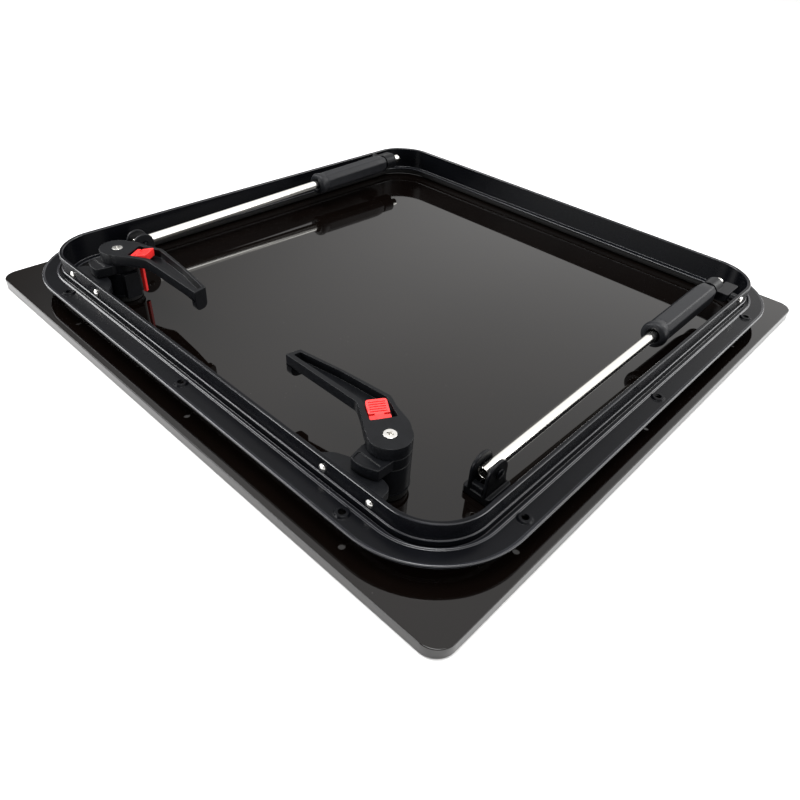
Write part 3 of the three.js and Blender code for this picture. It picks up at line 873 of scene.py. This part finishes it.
both_sides("stay_{}_fork", "lid", bracket, PLASTIC, "black_plastic", "stay_{}_bracket")
both_sides("stay_{}_clevis_pin", "lid", clevis_pin, ANODISED, "anodised", "stay_{}_pin")
both_sides("stay_{}_polished_tube", "stay_{}_tube", stay_tube, POLISHED, "polished_tube", "stay_{}_tube")
both_sides("stay_{}_slide_block", "stay_{}_block", stay_block, PLASTIC, "black_plastic", "stay_{}_block")
both_sides("stay_{}_twist_grip", "stay_{}_grip", stay_grip, GRIP, "black_plastic", "stay_{}_grip")
both_sides("stay_{}_wall_bolt", "frame", frame_bolt, STEEL, "steel", "stay_{}_frame_bolt")
both_sides("stay_{}_bolt_spacer", "frame", bolt_spacer, PLASTIC, "black_plastic")

both_sides("hinge_{}_lower_leaf", "lid", lid_leaf, ANODISED, "anodised", "hinge_{}_lid_leaf")
both_sides("hinge_{}_upper_leaf", "frame", frame_leaf, ANODISED, "anodised", "hinge_{}_frame_leaf")
both_sides("hinge_{}_axle", "frame", hinge_pin, STEEL, "steel", "hinge_{}_pin")

# The CAD nodes that no piece replaces
SLOT_MATERIALS = {"steel": STEEL, "rubber": RUBBER, "black_plastic": PLASTIC, "anodised": ANODISED}
for part in frame["record"]["subparts"]:
    node = frame["nodes"][part["node"]]
    if not node.hide_render:
        node.data.materials.clear()
        node.data.materials.append(SLOT_MATERIALS[part["material_slot"]])


# ---------- stage, light and camera ----------

def stage_floor():
    """A round floor. It ends where it is still as white as the background."""
    radius, z = 3.8, -0.0004
    mesh = bpy.data.meshes.new("floor")
    edge = arc(0, 0, radius, 0, 357, 119)
    mesh.from_pydata([(x, y, z) for x, y in edge], [], [tuple(range(len(edge)))])
    floor = bpy.data.objects.new("floor", mesh)
    bpy.context.scene.collection.objects.link(floor)
    material = bpy.data.materials.new("pale_floor")
    material.use_nodes = True
    shader = material.node_tree.nodes["Principled BSDF"]
    shader.inputs["Base Color"].default_value = (0.9, 0.9, 0.9, 1)
    shader.inputs["Roughness"].default_value = 0.7
    floor.data.materials.append(material)


def softbox(name, place, target, size, power):
    light = bpy.data.lights.new(name, "AREA")
    light.shape = "RECTANGLE"
    light.size, light.size_y = size
    light.energy = power
    lamp = bpy.data.objects.new(name, light)
    lamp.location = place
    lamp.rotation_mode = "QUATERNION"
    lamp.rotation_quaternion = (Vector(target) - Vector(place)).to_track_quat("-Z", "Y")
    bpy.context.scene.collection.objects.link(lamp)


def studio():
    """A room that is bright above and behind the hinges and dark low down, on a white background."""
    world = bpy.data.worlds.new("studio")
    world.use_nodes = True
    tree = world.node_tree
    background = tree.nodes["Background"]
    background.inputs["Color"].default_value = (1, 0.99, 0.98, 1)
    direction = tree.nodes.new("ShaderNodeTexCoord")
    toward = tree.nodes.new("ShaderNodeVectorMath")
    toward.operation = "DOT_PRODUCT"
    toward.inputs[1].default_value = Vector((0.30, 0.45, 0.84)).normalized()
    link(tree, direction.outputs["Generated"], toward.inputs[0])
    level = map_range(tree, toward.outputs["Value"], 0.12, 0.58, 0.06, 1.08, "SMOOTHSTEP")
    path = tree.nodes.new("ShaderNodeLightPath")
    strength = tree.nodes.new("ShaderNodeMath")
    strength.operation = "MAXIMUM"
    link(tree, level, strength.inputs[0])
    link(tree, path.outputs["Is Camera Ray"], strength.inputs[1])
    link(tree, strength.outputs["Value"], background.inputs["Strength"])
    bpy.context.scene.world = world
    softbox("overhead", (0.15, -0.1, 4), (0.15, -0.1, 0), (1.6, 1.6), 105)
    softbox("strip behind", (0.8, 2.0, 1.5), (0.1, 0.1, 0), (0.8, 2.0), 20)
    softbox("strip on the left", (-2.0, -0.8, 1.5), (0, 0, 0), (0.8, 2.0), 50)
    softbox("low on the right", (2.2, 0.9, 0.65), (-0.2, 0, 0.03), (1.2, 0.9), 14)
    softbox("low in front", (-0.9, -2.2, 0.65), (0.1, 0.2, 0.03), (1.2, 0.9), 34)


def camera():
    """Stands where the photograph was taken from. Angles are in degrees and distances in metres."""
    azimuth, elevation, roll = (math.radians(v) for v in (40.6278, 38.3816, 4.5221))
    target, distance = Vector((0.1117959, -0.1345159, 0)), 0.5838
    back = Vector((math.cos(elevation) * math.sin(azimuth), -math.cos(elevation) * math.cos(azimuth),
                   math.sin(elevation)))
    right = Vector((math.cos(azimuth), math.sin(azimuth), 0))
    up = back.cross(right)
    tilted_right = right * math.cos(roll) + up * math.sin(roll)
    tilted_up = up * math.cos(roll) - right * math.sin(roll)
    data = bpy.data.cameras.new("camera")
    data.sensor_width, data.lens = 36, 30.0735
    data.clip_start, data.clip_end = 0.01, 100
    thing = bpy.data.objects.new("camera", data)
    columns = Matrix((tilted_right, tilted_up, back)).transposed().to_4x4()
    thing.matrix_world = Matrix.Translation(target + back * distance) @ columns
    bpy.context.scene.collection.objects.link(thing)
    bpy.context.scene.camera = thing


stage_floor()
studio()
camera()
bpy.context.scene.view_settings.view_transform = "Standard"
